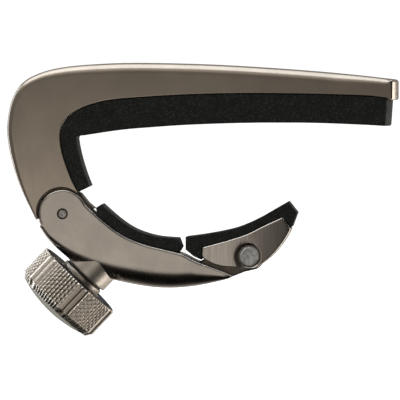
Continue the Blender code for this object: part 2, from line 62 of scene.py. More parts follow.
# Half widths across the capo.
BODY_HALF = 5.0
PAD_HALF = 4.9
SHOE_PAD_HALF = 4.78
TONGUE_HALF = 3.0
FORK_HALF = 3.4
ARM_NOSE_HALF = 2.7
SHOE_SLOT_HALF = 3.1
NUT_SLOT_HALF = 1.75
CUTTER_HALF = 6.0

# The hinge, with the arcs of the frame, the arm and the tongue round it.
PIVOT = (-44.0, -18.26)
FRAME_ARC_RADIUS = 5.1
ARM_END_RADIUS = 4.85
TONGUE_HUB_RADIUS = 4.7
PIN_RADIUS = 1.05
PIN_HOLE_RADIUS = 1.12
FORK_REACH = 14.9
WEB = 0.8

# The screw's axis: its slope, the boss on the arm and the nut in the tongue's ears.
SCREW_ANGLE = 46.58
BOSS_FACE = (-39.69, -30.48)
BOSS_RADIUS = 4.9
BOSS_DEPTH = 4.5
BOSS_FLOOR = 1.6
NUT_DISTANCE = 4.9
NUT_RADIUS = 2.05
NUT_FIT = 0.05
EAR_RADIUS = 2.7
EAR_CLEARANCE = 0.4
EAR_GAP_DEPTH = 2.6

# The knob, with distances measured outwards from the boss face.
SCREW_HOLE = 1.6
COLLAR_FRONT = 0.42
COLLAR_BACK = 1.44
COLLAR_RADIUS = 4.64
KNOB_BACK = 1.5
KNOB_RADIUS = 9.4
KNOB_LENGTH = 6.3
KNOB_CHAMFER = 1.17
CAP_RADIUS = 8.3
CAP_RISE = 1.42
CAP_SINK = 0.85

# The knurl: short ridges in staggered rows, between flutes with plain edges.
FLUTES = 6
FLUTE_FIRST = 17.0
FLUTE_REACH = 8.85
FLUTE_HOLLOW = 0.42
FLUTE_EDGE = 0.72
FLUTE_DEPTH = 0.5
EDGE_DEPTH = 0.16
KNURLS = 84
KNURL_COLUMNS = 9
KNURL_ROWS = 40
KNURL_DEPTH = 0.26
KNURL_BULGE = 0.8
DASH_PITCH = 1.1
DASH_STEEPNESS = 1.7
DASH_FLOOR = 0.25
CHAMFER_ROWS = 6
# The grip's first rings of faces, its recessed back, are near-black: painted shade.
GRIP_PAINTED_SHADE_RINGS = 4

# The shoe's rivet and the hollow round it.
RIVET = (-6.5, -26.76)
RIVET_RADIUS = 2.0
RIVET_SEAT_RADIUS = 2.34
RIVET_DISH_RADIUS = 2.85
RIVET_DISH_FACE = 4.88
NOSE_RADIUS = 2.9
NOSE_CLEARANCE = 0.4
SHOE_CROWN = 0.16
SHOE_CROWN_START = -12.0
SHOE_CROWN_LENGTH = 13.5
SHOE_CROWN_CUTS = 21
SHOE_CROWN_STEP = 0.67

# The bar's end, rounded as seen from above.
TIP_PLAN_RADIUS = 11.0
TIP_PLAN_START = 14.0
TIP_PLAN_END = 21.0

# How meshes are cleaned. The first is in metres.
MERGE_DISTANCE = 1e-7
SIDE_FACING = 0.9999
MOST_SMALL_FACE_POINTS = 20
SIDE_MARGIN = 0.02
LEAST_INNER_RUN = 0.08
FILLET_NARROWING = 0.8
LEAST_MITRE = 0.5
LEAST_CORE = 0.4


# ---------------------------------------------------------------- outlines


def polar(centre, radius, angle):
    turn = math.radians(angle)
    return centre[0] + radius * math.cos(turn), centre[1] + radius * math.sin(turn)


def bearing(centre, point):
    """The angle in degrees at which the point lies from the centre."""
    return math.degrees(math.atan2(point[1] - centre[1], point[0] - centre[0]))


def on_screw(distance, side=0.0):
    """A point along the screw's axis from the boss face, and to the right of the axis by side."""
    return polar(polar(BOSS_FACE, distance, SCREW_ANGLE), side, SCREW_ANGLE - 90)


NUT = on_screw(NUT_DISTANCE)


def arc(centre, radius, start, end, steps):
    return [polar(centre, radius, start + (end - start) * i / steps) for i in range(steps + 1)]


def smooth(knots, steps=8):
    """A Catmull-Rom curve through all the knots."""
    ends = [knots[0], *knots, knots[-1]]
    size = range(len(knots[0]))
    points = []
    for a, b, c, d in zip(ends, ends[1:], ends[2:], ends[3:]):
        for i in range(steps):
            t = i / steps
            weights = (
                (-t + 2 * t**2 - t**3) / 2,
                (2 - 5 * t**2 + 3 * t**3) / 2,
                (t + 4 * t**2 - 3 * t**3) / 2,
                (-(t**2) + t**3) / 2,
            )
            points.append(tuple(sum(w * p[k] for w, p in zip(weights, (a, b, c, d))) for k in size))
    return [*points, knots[-1]]


def beside(points, distance):
    """The polyline moved to its right-hand side, as one walks along it."""
    moved = []
    for i, (x, z) in enumerate(points):
        before = points[max(i - 1, 0)]
        after = points[min(i + 1, len(points) - 1)]
        run = Vector((after[0] - before[0], after[1] - before[1])).normalized()
        moved.append((x + run.y * distance, z - run.x * distance))
    return moved


def with_fillet(points, *widths):
    """The points with a fillet width each, which runs evenly through the given widths."""
    last = len(widths) - 1
    if last == 0:
        return [(x, z, widths[0]) for x, z in points]
    made = []
    for i, (x, z) in enumerate(points):
        at = i / (len(points) - 1) * last
        low = min(int(at), last - 1)
        made.append((x, z, widths[low] + (widths[low + 1] - widths[low]) * (at - low)))
    return made


# Outlines as seen from the front, in X and Z.
TIP_TOP = (22.55, 8.67)
TIP_LIP_START = 22.2
FRAME_BACK = [
    (10.8, 9.9),
    (-2.0, 10.9),
    (-14.8, 11.62),
    (-27.6, 11.92),
    (-36.0, 11.76),
    (-43.6, 11.12),
    (-48.6, 9.9),
    (-52.15, 7.85),
    (-54.2, 4.5),
    (-55.1, 0.0),
    (-55.0, -3.7),
    (-53.94, -8.66),
    (-52.24, -13.5),
    (-49.95, -18.2),
    (-49.28, -19.46),
]
TONGUE_SHOULDER = [
    (-47.6, -12.4),
    (-42.4, -12.6),
    (-41.05, -13.98),
    (-40.5, -14.2),
    (-38.9, -16.15),
    (-37.62, -17.25),
]
FRAME_BAR_UNDER = [
    (23.0, 4.98),
    (15.6, 5.34),
    (3.6, 5.66),
    (-8.4, 5.76),
    (-20.4, 5.44),
    (-32.4, 4.68),
]
FRAME_BEND = [
    (-32.4, 4.68),
    (-36.4, 4.04),
    (-40.4, 2.7),
    (-43.2, 0.75),
    (-44.32, -2.1),
    (-43.97, -5.8),
    (-42.52, -10.2),
    (-40.95, -13.8),
]
PAD_UNDER = [(4.0, 0.0), (9.2, -0.12), (15.6, -0.38), (21.5, -0.64)]
PAD_UNDER_HEEL = [
    (-40.0, -2.62),
    (-32.4, -1.48),
    (-26.0, -0.92),
    (-19.6, -0.48),
    (-11.0, -0.14),
    (-4.0, 0.0),
]
PAD_LEG = [(-38.52, -12.72), (-39.58, -9.97), (-40.35, -7.45), (-40.9, -5.2), (-41.2, -3.4)]
ARM_INNER = [
    (-39.4, -16.5),
    (-37.0, -18.66),
    (-33.66, -21.34),
    (-30.8, -23.02),
    (-27.44, -24.32),
    (-23.06, -25.42),
    (-20.12, -26.22),
    (-17.6, -27.5),
    (-15.5, -28.38),
]
ARM_OUTER = [
    (-9.75, -30.72),
    (-11.6, -31.46),
    (-18.0, -32.82),
    (-24.4, -33.14),
    (-30.85, -32.25),
    (-36.5, -30.73),
    (-41.32, -28.4),
    (-44.72, -25.63),
    (-47.16, -23.03),
    (-48.6, -20.76),
]
ARM_TIP = [(-15.5, -28.38), (-13.4, -29.2), (-11.5, -29.92), (-10.1, -30.6)]
ARM_PAD_TOP = [(-36.15, -16.32), (-32.62, -19.37), (-29.37, -21.42), (-25.27, -22.73), (-20.85, -23.15)]
SHOE_TOP = [(-15.3, -24.74), (-11.3, -23.66), (-7.22, -22.34), (-3.8, -20.66), (-0.5, -19.14)]
SHOE_BACK = [(1.68, -21.5), (0.1, -24.18), (-2.1, -26.76), (-4.96, -29.06)]
SHOE_PAD_TOP = [(-19.32, -22.88), (-14.8, -22.24), (-10.0, -21.26), (-6.8, -20.12), (-4.0, -18.76)]
SHOE_PAD_LIP = (1.2, -15.75)


# ---------------------------------------------------------------- meshes


def across(point, y=0.0):
    return point[0], y, point[1]


def place(base, direction):
    turn = Vector((0, 0, 1)).rotation_difference(Vector(direction).normalized())
    return Matrix.Translation(Vector(base) * MM) @ turn.to_matrix().to_4x4()


def screw_direction(sign=1):
    x, z = polar((0, 0), sign, SCREW_ANGLE)
    return x, 0, z


def add_object(name, data):
    obj = bpy.data.objects.new(name, data)
    bpy.context.scene.collection.objects.link(obj)
    return obj


def new_object(name, verts, faces):
    mesh = bpy.data.meshes.new(name)
    mesh.from_pydata([Vector(v) * MM for v in verts], [], faces)
    return add_object(name, mesh)


@contextmanager
def edited(obj):
    """The object's mesh as an open bmesh, written back at the end."""
    bm = bmesh.new()
    bm.from_mesh(obj.data)
    yield bm
    bm.to_mesh(obj.data)
    bm.free()


def solid(obj):
    """Welds a mesh into one closed skin that faces outwards."""
    with edited(obj) as bm:
        bmesh.ops.remove_doubles(bm, verts=bm.verts, dist=MERGE_DISTANCE)
        bmesh.ops.recalc_face_normals(bm, faces=bm.faces)
    return obj


def tidy_normals(obj, angle=40):
    """Faces all turned outwards, round parts shaded smooth and flat parts kept flat."""
    with edited(obj) as bm:
        bmesh.ops.remove_doubles(bm, verts=bm.verts, dist=MERGE_DISTANCE)
        large = [face for face in bm.faces if len(face.verts) > MOST_SMALL_FACE_POINTS]
        sides = [face for face in large if abs(face.normal.y) > SIDE_FACING]
        bmesh.ops.inset_individual(bm, faces=sides, thickness=SIDE_MARGIN * MM)
        bmesh.ops.recalc_face_normals(bm, faces=bm.faces)
    obj.data.shade_smooth()
    obj.data.set_sharp_from_angle(angle=math.radians(angle))
    weighted = obj.modifiers.new("flat_faces_stay_flat", "WEIGHTED_NORMAL")
    weighted.keep_sharp = True


def anticlockwise(outline):
    area = sum(a[0] * b[1] - b[0] * a[1] for a, b in zip(outline, outline[1:] + outline[:1]))
    return outline if area > 0 else outline[::-1]


def inward(outline):
    """For each point of an anticlockwise outline, the step that moves both its edges inwards by 1."""
    steps = []
    for i, here in enumerate(outline):
        before = Vector(outline[i - 1][:2])
        after = Vector(outline[(i + 1) % len(outline)][:2])
        here = Vector(here[:2])
        first = (here - before).normalized()
        second = (after - here).normalized()
        a = Vector((-first.y, first.x))
        b = Vector((-second.y, second.x))
        steps.append((a + b) / max(1 + a.dot(b), LEAST_MITRE))
    return steps


def unfolded(outline, steps):
    """The outline with narrower fillets wherever a fillet's inner edge would fold back on itself."""
    outline = [Vector(point) for point in outline]
    pairs = [(i, (i + 1) % len(outline)) for i in range(len(outline))]
    folded = pairs
    while folded:
        folded = []
        for i, j in pairs:
            run = outline[j].xy - outline[i].xy
            inner = run + steps[j] * outline[j].z - steps[i] * outline[i].z
            if run.dot(inner) < LEAST_INNER_RUN * run.length_squared:
                folded.append((i, j))
        for k in {k for pair in folded for k in pair}:
            outline[k].z *= FILLET_NARROWING
    return [tuple(point) for point in outline]


def slab_rings(rows, rim):
    """The rings of a slab from its front to its back: side, share of inset and share of drop."""
    turns = [math.pi / 2 * k / rows for k in range(rows + 1)]
    fillet = [(1 - math.cos(turn), 1 - math.sin(turn)) for turn in turns]
    front = [(-1, *shares) for shares in reversed(fillet)]
    middle = [(2 * k / rim - 1, 0.0, 1.0) for k in range(1, rim)]
    return [*front, *middle, *[(1, *shares) for shares in fillet]]


def slab(name, outline, half, rows=7, rim=2):
    """A plate of this outline in the XZ plane. Each outline point is (x, z, fillet width)."""
    outline = anticlockwise([(*p, 0.0) if len(p) == 2 else p for p in outline])
    steps = inward(outline)
    outline = unfolded(outline, steps)
    rings = slab_rings(rows, rim)
    verts = []
    for side, inset, drop in rings:
        for (x, z, width), step in zip(outline, steps):
            y = side * (half - drop * min(width, half - LEAST_CORE))
            verts.append((x + step.x * width * inset, y, z + step.y * width * inset))
    count = len(outline)
    faces = [list(range(count)), list(range(len(verts) - count, len(verts)))[::-1]]
    for ring in range(len(rings) - 1):
        low = ring * count
        for i in range(count):
            j = (i + 1) % count
            faces.append((low + i, low + count + i, low + count + j, low + j))
    return new_object(name, verts, faces)


def lathe(name, profile, base, direction, steps=96, ring=False, relief=None):
    """A profile of (radius, height) points turned about direction, with height 0 at base.

    A profile closed on itself is a ring. With relief, the radius at an angle and point grows by it.
    """
    verts = []
    for point in profile:
        for i in range(steps):
            turn = 2 * math.pi * i / steps
            radius = point[0] + (relief(360 * i / steps, point) if relief else 0.0)
            verts.append((radius * math.cos(turn), radius * math.sin(turn), point[1]))
    rows = list(range(len(profile)))
    next_rows = rows[1:] + rows[:1] if ring else rows[1:]
    faces = []
    for a, b in zip(rows, next_rows):
        for i in range(steps):
            j = (i + 1) % steps
            faces.append((a * steps + i, a * steps + j, b * steps + j, b * steps + i))
    obj = new_object(name, verts, faces)
    obj.matrix_world = place(base, direction)
    return obj


def both_ends(end):
    """The profile of a rod whose far end mirrors this near one."""
    return [*end, *[(radius, -height) for radius, height in reversed(end)]]


def rounded(profile, radius=0.15, steps=4):
    """An open profile with its inner corners rounded."""
    made = [profile[0]]
    for before, here, after in zip(profile, profile[1:], profile[2:]):
        here = Vector(here)
        back = Vector(before) - here
        on = Vector(after) - here
        reach = min(radius, back.length * 0.45, on.length * 0.45)
        start = here + back.normalized() * reach
        end = here + on.normalized() * reach
        for i in range(steps + 1):
            t = i / steps
            made.append(tuple(start * (1 - t) ** 2 + here * 2 * t * (1 - t) + end * t**2))
    return [*made, profile[-1]]


def carve(piece, *cutters):
    """Cuts the cutters out of a piece for good, and removes them."""
    for cutter in cutters:
        modifier = piece.modifiers.new("cut", "BOOLEAN")
        modifier.operation = "DIFFERENCE"
        modifier.solver = "EXACT"
        modifier.object = cutter
    bpy.context.view_layer.update()
    shaped = bpy.data.meshes.new_from_object(piece.evaluated_get(bpy.context.evaluated_depsgraph_get()))
    piece.modifiers.clear()
    piece.data = shaped
    for cutter in cutters:
        bpy.data.objects.remove(cutter)
    return piece


def bar(radius, centre):
    """A round cutter across the capo."""
    profile = both_ends([(0, CUTTER_HALF), (radius, CUTTER_HALF)])
    return solid(lathe("cutter", profile, across(centre), (0, 1, 0), 64))


def plate(outline, half):
    """A flat cutter with sharp edges."""
    return solid(slab("cutter", outline, half, 1))


def round_tip(obj):
    """The bar's end is rounded as seen from above."""
    for vertex in obj.data.vertices:
        x, y = vertex.co.x / MM, vertex.co.y / MM
        if x > TIP_PLAN_START:
            share = min((x - TIP_PLAN_START) / (TIP_PLAN_END - TIP_PLAN_START), 1.0)
            sagitta = TIP_PLAN_RADIUS - math.sqrt(TIP_PLAN_RADIUS**2 - y * y)
            vertex.co.x -= sagitta * share**3 * MM
    return obj


# ---------------------------------------------------------------- materials


def scaled(colour, factor):
    return tuple(c * factor for c in colour)


class NodeTree:
    """Short calls for the nodes used below."""

    def __init__(self, tree):
        self.tree = tree

    def node(self, kind):
        return self.tree.nodes.new(kind)

    def join(self, source, socket):
        self.tree.links.new(source, socket)

    def spread(self, value, low, high, to_low=0.0, to_high=1.0):
        """The value's range from low to high, carried over to another range."""
        node = self.node("ShaderNodeMapRange")
        node.inputs["From Min"].default_value = low
        node.inputs["From Max"].default_value = high
        node.inputs["To Min"].default_value = to_low
        node.inputs["To Max"].default_value = to_high
        self.join(value, node.inputs["Value"])
        return node.outputs["Result"]

    def ease(self, value, *ranges):
        """As spread, with a soft start and end."""
        result = self.spread(value, *ranges)
        result.node.interpolation_type = "SMOOTHSTEP"
        return result

    def blend(self, factor, first, second):
        """A mix of two colours, each a socket or a tuple, by a factor that is a socket or a number."""
        node = self.node("ShaderNodeMix")
        node.data_type = "RGBA"
        for name, value in (("Factor", factor), ("A", first), ("B", second)):
            if isinstance(value, tuple):
                node.inputs[name].default_value = (*value, 1.0)
            elif isinstance(value, float):
                node.inputs[name].default_value = value
            else:
                self.join(value, node.inputs[name])
        return node.outputs["Result"]


class Nodes(NodeTree):
    """A new material's node tree."""

    def __init__(self, name):
        self.material = bpy.data.materials.new(name)
        self.material.use_nodes = True
        super().__init__(self.material.node_tree)
        self.shader = self.tree.nodes["Principled BSDF"]
        self.place = self.node("ShaderNodeTexCoord").outputs["Object"]

    def stretched(self, scale):
        """The place in the piece, scaled by axis, which makes a noise that runs along the small one."""
        node = self.node("ShaderNodeMapping")
        node.inputs["Scale"].default_value = scale
        self.join(self.place, node.inputs["Vector"])
        return node.outputs["Vector"]

    def noise(self, scale, detail=3.0, where=None):
        node = self.node("ShaderNodeTexNoise")
        node.inputs["Scale"].default_value = scale
        node.inputs["Detail"].default_value = detail
        self.join(where or self.place, node.inputs["Vector"])
        return node.outputs["Fac"]

    def bump(self, height, strength, distance, under=None):
        node = self.node("ShaderNodeBump")
        node.inputs["Strength"].default_value = strength
        node.inputs["Distance"].default_value = distance * MM
        self.join(height, node.inputs["Height"])
        if under is not None:
            self.join(under, node.inputs["Normal"])
        return node.outputs["Normal"]


def satin_metal(name, colour, roughness, grain=(1.0, 1.0, 1.0), streak=0.03, pits=0.25):
    """Plated metal with a fine blasted grain, faint streaks and slow changes of tone."""
    n = Nodes(name)
    tone = n.spread(n.noise(140, 2.0), 0.35, 0.65)
    streaks = n.spread(n.noise(900, 4.0, n.stretched(grain)), 0.3, 0.7)
    body = n.blend(tone, scaled(colour, 0.93), scaled(colour, 1.05))
    speck = n.spread(n.noise(5200, 2.0), 0.62, 0.75)
    body = n.blend(speck, body, scaled(colour, 0.88))
    n.join(body, n.shader.inputs["Base Color"])
    rough = n.spread(streaks, 0.0, 1.0, roughness - streak, roughness + streak)
    n.join(rough, n.shader.inputs["Roughness"])
    n.shader.inputs["Metallic"].default_value = 1.0
    fine = n.bump(n.noise(3800, 3.0), pits, 0.004)
    n.join(n.bump(streaks, pits, 0.003, fine), n.shader.inputs["Normal"])
    return n.material


def speckled_rubber(name):
    """Matt black moulded rubber with a pebbled skin and fine pale specks."""
    n = Nodes(name)
    cloud = n.spread(n.noise(420, 3.0), 0.3, 0.7)
    body = n.blend(cloud, (0.014, 0.016, 0.013), (0.028, 0.031, 0.025))
    speck = n.spread(n.noise(3600, 2.0), 0.56, 0.70)
    body = n.blend(speck, body, (0.085, 0.088, 0.076))
    n.join(body, n.shader.inputs["Base Color"])
    n.join(n.spread(n.noise(1800, 2.0), 0.3, 0.7, 0.62, 0.85), n.shader.inputs["Roughness"])
    n.shader.inputs["Specular IOR Level"].default_value = 0.35
    fine = n.bump(n.noise(4200, 3.0), 0.6, 0.02)
    n.join(n.bump(cloud, 0.25, 0.05, fine), n.shader.inputs["Normal"])
    return n.material


def drawn_plastic(name, colour):
    """Smooth plastic or paint, a little uneven in tone and gloss."""
    n = Nodes(name)
    body = n.blend(n.noise(600, 3.0), scaled(colour, 0.8), scaled(colour, 1.2))
    n.join(body, n.shader.inputs["Base Color"])
    n.join(n.spread(n.noise(2500, 2.0), 0.3, 0.7, 0.42, 0.6), n.shader.inputs["Roughness"])
    n.join(n.bump(n.noise(3000, 2.0), 0.2, 0.01), n.shader.inputs["Normal"])
    return n.material


def peened_metal(name, colour):
    """A rivet's face: bright, with the marks of the tool that set it."""
    n = Nodes(name)
    marks = n.spread(n.noise(1500, 3.0), 0.35, 0.65)
    body = n.blend(marks, scaled(colour, 0.72), scaled(colour, 1.1))
    n.join(body, n.shader.inputs["Base Color"])
    n.shader.inputs["Metallic"].default_value = 0.4
    n.join(n.spread(marks, 0.0, 1.0, 0.6, 0.4), n.shader.inputs["Roughness"])
    n.join(n.bump(marks, 0.9, 0.05), n.shader.inputs["Normal"])
    return n.material


def turned_metal(name, colour, roughness):
    """Metal off the lathe: rings along the piece's own axis."""
    n = Nodes(name)
    rings = n.spread(n.noise(1700, 3.0, n.stretched((0.02, 0.02, 1.0))), 0.3, 0.7)
    around = n.spread(n.noise(500, 2.0, n.stretched((1.0, 1.0, 0.2))), 0.3, 0.7)
    body = n.blend(around, scaled(colour, 0.86), scaled(colour, 1.08))
    n.join(body, n.shader.inputs["Base Color"])
    n.shader.inputs["Metallic"].default_value = 1.0
    n.join(n.spread(rings, 0.0, 1.0, roughness - 0.06, roughness + 0.06), n.shader.inputs["Roughness"])
    n.join(n.bump(rings, 0.35, 0.008), n.shader.inputs["Normal"])
    return n.material


PEWTER = (0.43, 0.366, 0.296)
# Pewter lightened for the arm and shoe: painted light, for the extra light their faces catch beside the
# frame.
PEWTER_PAINTED_LIGHTER = (0.57, 0.51, 0.445)
PALE = (0.62, 0.555, 0.475)
SILVER = (0.78, 0.76, 0.72)

LOOKS = {
    "frame": satin_metal("frame_metal", PEWTER, 0.25, (1.0, 1.0, 0.35), 0.02, 0.06),
    "arm": satin_metal("arm_metal", PEWTER_PAINTED_LIGHTER, 0.27, (0.5, 1.0, 0.5), 0.02, 0.012),
    "shoe": satin_metal("shoe_metal", scaled(PEWTER_PAINTED_LIGHTER, 0.98), 0.25, (1.6, 1.0, 0.10), 0.06, 0.05),
    # The tongue's pewter darkened to 0.4: painted shade for its recess between the arm's cheeks.
    "tongue": satin_metal("tongue_painted_shade_metal", scaled(PEWTER, 0.4), 0.4, (1.0, 1.0, 1.0), 0.04, 0.2),
    "boss": turned_metal("boss_metal", scaled(PALE, 1.2), 0.42),
    "collar": turned_metal("collar_metal", scaled(PALE, 0.9), 0.40),
    "grip": satin_metal("grip_metal", scaled(PALE, 1.15), 0.33, (1.0, 1.0, 1.0), 0.06, 0.4),
    # Near-black for the grip's recessed back: painted shade in the recess behind the knurl.
    "grip_back": drawn_plastic("grip_back_painted_shade", (0.012, 0.011, 0.010)),
    "cap": satin_metal("cap_metal", (0.62, 0.61, 0.54), 0.42, (1.0, 1.0, 1.0), 0.06, 0.5),
    "rivet": peened_metal("rivet_metal", scaled(SILVER, 1.12)),
    "pin": peened_metal("pin_metal", scaled(SILVER, 1.15)),
    "steel": turned_metal("steel", scaled(SILVER, 0.85), 0.28),
    "bronze": turned_metal("bronze", (0.62, 0.42, 0.22), 0.36),
    "spring": turned_metal("spring_wire", (0.50, 0.50, 0.51), 0.32),
    "nylon": drawn_plastic("nylon", (0.045, 0.045, 0.045)),
    "rubber": speckled_rubber("rubber"),
}


def dress(obj, look):
    obj.data.materials.clear()
    obj.data.materials.append(LOOKS[look])
    return obj


def install(obj, body, slot, look, *nodes):
    """Gives a finished piece its material, the body it rides on and the CAD nodes it stands for."""
    tidy_normals(obj)
    dress(obj, look)
    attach(obj, body)
    if nodes:
        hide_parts(*nodes)
    return obj


# ---------------------------------------------------------------- frame


def bend_line(steps=8):
    return [*smooth(FRAME_BAR_UNDER, steps)[:-1], *smooth(FRAME_BEND, steps)]


def frame_outline():
    """The C of the frame, from the top of the bar's end round the back to the lip under that end."""
    back = smooth([TIP_TOP, *FRAME_BACK])
    under = [p for p in reversed(bend_line()) if p[0] < TIP_LIP_START]
    lip = [(22.42, 4.92), (22.52, 4.66), (22.66, 4.56)]
    return [
        *with_fillet(back, 1.2, *[2.1] * 5, 1.9, 1.6, 1.4, *[1.2] * 3, 1.1, 0.8, 0.4, 0.12),
        *with_fillet(arc(PIVOT, FRAME_ARC_RADIUS, 191, 55, 46), 0.1, 0.4, 0.45, 0.4, 0.12),
        *with_fillet(under, 0.1, *[0.3] * 18, 0.1),
        *with_fillet(lip, 0.1),
        (23.0, 4.56, 0.12),
        (23.2, 4.8, 0.2),
        *with_fillet(smooth([TIP_TOP, (22.98, 8.5), (23.2, 8.1)], 3)[:0:-1], 0.3, 0.9),
    ]


def tongue_outline():
    """The tongue that carries the pin and the nut between the arm's cheeks."""
    heading = bearing(PIVOT, NUT)
    neck = math.degrees(math.asin(EAR_RADIUS / TONGUE_HUB_RADIUS))
    return [
        *TONGUE_SHOULDER,
        *arc(PIVOT, TONGUE_HUB_RADIUS, 9, heading + neck, 10),
        *arc(NUT, EAR_RADIUS, heading + 90, heading - 90, 24),
        *arc(PIVOT, TONGUE_HUB_RADIUS, heading - neck, -195, 30),
    ]


def ear_gap_outline():
    """The gap between the tongue's two ears, in which the nut's middle sits."""
    heading = bearing(PIVOT, NUT)
    inner = polar(NUT, EAR_GAP_DEPTH, heading + 180)
    reach = EAR_RADIUS + EAR_CLEARANCE
    return [
        *arc(NUT, reach, heading - 90, heading + 90, 16),
        polar(inner, reach, heading + 90),
        polar(inner, EAR_RADIUS + 4 * EAR_CLEARANCE, heading - 90),
    ]


def make_frame():
    shell = round_tip(slab("capo_frame", frame_outline(), BODY_HALF, 8, 16))
    install(shell, "frame", "cast_metal", "frame", "frame")
    tongue = solid(slab("frame_tongue", with_fillet(tongue_outline(), 0.25), TONGUE_HALF, 4))
    carve(tongue, bar(NUT_RADIUS + NUT_FIT, NUT), plate(ear_gap_outline(), NUT_SLOT_HALF))
    # The tongue takes the darkened pewter, which is painted shade.
    install(tongue, "frame", "cast_metal", "tongue")


def make_string_pad():
    seat = bend_line()
    outline = [
        (22.12, seat[0][1] + 0.03),
        *[p for p in seat[1:-1] if p[0] < 21.6],
        (-40.72, -13.78),
        *smooth(PAD_LEG, 5),
        *arc((-40.7, -3.17), 0.5, 190, 100, 8),
        *smooth(PAD_UNDER_HEEL)[1:],
        *smooth(PAD_UNDER),
        (21.75, -0.4),
    ]
    pad = round_tip(slab("string_pad_rubber", with_fillet(outline, 0.22), PAD_HALF, 4, 14))
    install(pad, "frame", "rubber", "rubber", "string_pad")


# ---------------------------------------------------------------- arm


def arm_outline():
    """The lever, from its round end at the hinge along the inside and back along the outside."""
    shoulder = arc(PIVOT, ARM_END_RADIUS + 0.1, 205, 195, 4)
    end = arc(PIVOT, ARM_END_RADIUS, 189, 38, 56)
    return [
        *with_fillet([*shoulder, *end], 0.7, 0.5, 0.45, 0.45),
        *with_fillet(smooth(ARM_INNER)[:-1], 0.45, 0.6, 0.6, 0.5),
        *with_fillet(smooth(ARM_TIP, 4), 0.4, 0.35, 0.2),
        *with_fillet(smooth(ARM_OUTER), 0.1, 0.9, 3.3, 3.7, 3.7, 3.4, 2.7, 1.7, 1.0, 0.7),
    ]


def fork_outline():
    """The space between the arm's cheeks, in which the tongue swings."""
    web = beside(smooth(ARM_INNER), WEB)
    web = [p for p in web if math.dist(p, PIVOT) < FORK_REACH and p[0] > -37.6]
    floor = on_screw(BOSS_FLOOR, 3.2)
    return [
        polar(PIVOT, 9.0, 4.5),
        *web,
        *arc(PIVOT, FORK_REACH, bearing(PIVOT, web[-1]) - 1, bearing(PIVOT, floor), 12),
        on_screw(BOSS_FLOOR, -BOSS_RADIUS - 0.2),
        on_screw(-4.0, -BOSS_RADIUS - 0.2),
        (-56.0, -24.0),
        (-56.0, -8.0),
        (-36.0, -8.0),
    ]


def nose_outline():
    """The narrow nose between the shoe's cheeks, round at the rivet."""
    return [
        (-17.6, -28.3),
        (-15.2, -27.1),
        *arc(RIVET, NOSE_RADIUS, 112, -62, 30),
        *smooth([(-7.6, -29.9), (-11.6, -31.36), (-16.0, -32.0)], 6),
        (-18.0, -30.0),
    ]


def make_arm():
    arm = solid(slab("capo_arm", arm_outline(), BODY_HALF, 9, 2))
    carve(arm, plate(fork_outline(), FORK_HALF), bar(PIN_HOLE_RADIUS, PIVOT))
    install(arm, "arm", "cast_metal", "arm", "arm")
    nose = slab("arm_nose", with_fillet(nose_outline(), 0.35), ARM_NOSE_HALF, 4)
    # The nose takes the tongue's darkened pewter: painted shade for the shadowed gap under the shoe.
    install(nose, "arm", "cast_metal", "tongue")


def make_arm_boss():
    face = [(1.5, 0.05), (2.3, 0.0), (BOSS_RADIUS, 0.0), (BOSS_RADIUS, 1.55), (BOSS_RADIUS, BOSS_DEPTH)]
    profile = [(1.62, 1.5), *rounded(face, 0.3), (0, BOSS_DEPTH)]
    boss = lathe("arm_boss", profile, across(BOSS_FACE), screw_direction(), 128)
    install(boss, "arm", "cast_metal", "boss")


def make_arm_pad():
    base = [p for p in smooth(ARM_INNER) if -37.1 < p[0] < -21.0]
    outline = [
        (-37.16, -17.68),
        (-37.3, -17.05),
        *smooth(ARM_PAD_TOP),
        (-20.15, -24.95),
        (-20.6, -25.8),
        *reversed(base),
    ]
    pad = slab("arm_pad_rubber", with_fillet(outline, 0.2), PAD_HALF, 4)
    install(pad, "arm", "rubber", "rubber", "arm_pad")


def make_pin():
    """The hinge pin, with a stepped head at either side."""
    end = [(0, 4.66), (0.5, 4.66), (0.74, 4.62), (0.82, 4.5), (0.84, 3.6), (PIN_RADIUS, 3.5)]
    pin = lathe("pivot_pin_ends", both_ends(end), across(PIVOT), (0, 1, 0), 64)
    install(pin, "arm", "bright_steel", "pin", "pivot_pin")


# ---------------------------------------------------------------- shoe


def shoe_outline():
    """The shoe, from its heel along the top to the toe and back along the underside."""
    heel = smooth([(-16.0, -25.5), (-15.9, -25.05), (-15.6, -24.83), (-15.2, -24.71)], 4)
    top = smooth([*SHOE_TOP[1:], (0.05, -18.95), (0.45, -19.2)])
    toe = smooth([(0.7, -19.6), (1.1, -20.2), (1.45, -20.9), *SHOE_BACK], 6)
    under = smooth([(-6.6, -29.05), (-8.44, -29.06), (-11.8, -28.88), (-13.9, -28.3), (-15.5, -27.45)], 6)
    return [
        *with_fillet([(-15.95, -26.9), (-16.08, -26.5)], 0.35),
        *with_fillet(heel, 0.4),
        *with_fillet(top, 0.4),
        *with_fillet(toe, 0.4, 0.45, 0.4),
        *with_fillet(under, 0.35),
    ]


def crown(obj):
    """The cheeks fall away gently towards the toe, as the square of the distance."""
    with edited(obj) as bm:
        for i in range(SHOE_CROWN_CUTS):
            x = SHOE_CROWN_START + i * SHOE_CROWN_STEP
            everything = [*bm.verts, *bm.edges, *bm.faces]
            bmesh.ops.bisect_plane(bm, geom=everything, plane_co=(x * MM, 0, 0), plane_no=(1, 0, 0))
        for vertex in bm.verts:
            share = max(vertex.co.x / MM - SHOE_CROWN_START, 0.0) / SHOE_CROWN_LENGTH
            vertex.co.y *= 1 - SHOE_CROWN * share**2


def shoe_slot_outline():
    """The space between the shoe's cheeks, in which the arm's nose sits."""
    web = beside(smooth(SHOE_TOP[:3], 6), 1.0)
    return [
        (-17.5, -25.6),
        *web[:-1],
        *arc(RIVET, NOSE_RADIUS + NOSE_CLEARANCE, 84, -70, 24),
        (-5.0, -34.0),
        (-17.5, -34.0),
    ]


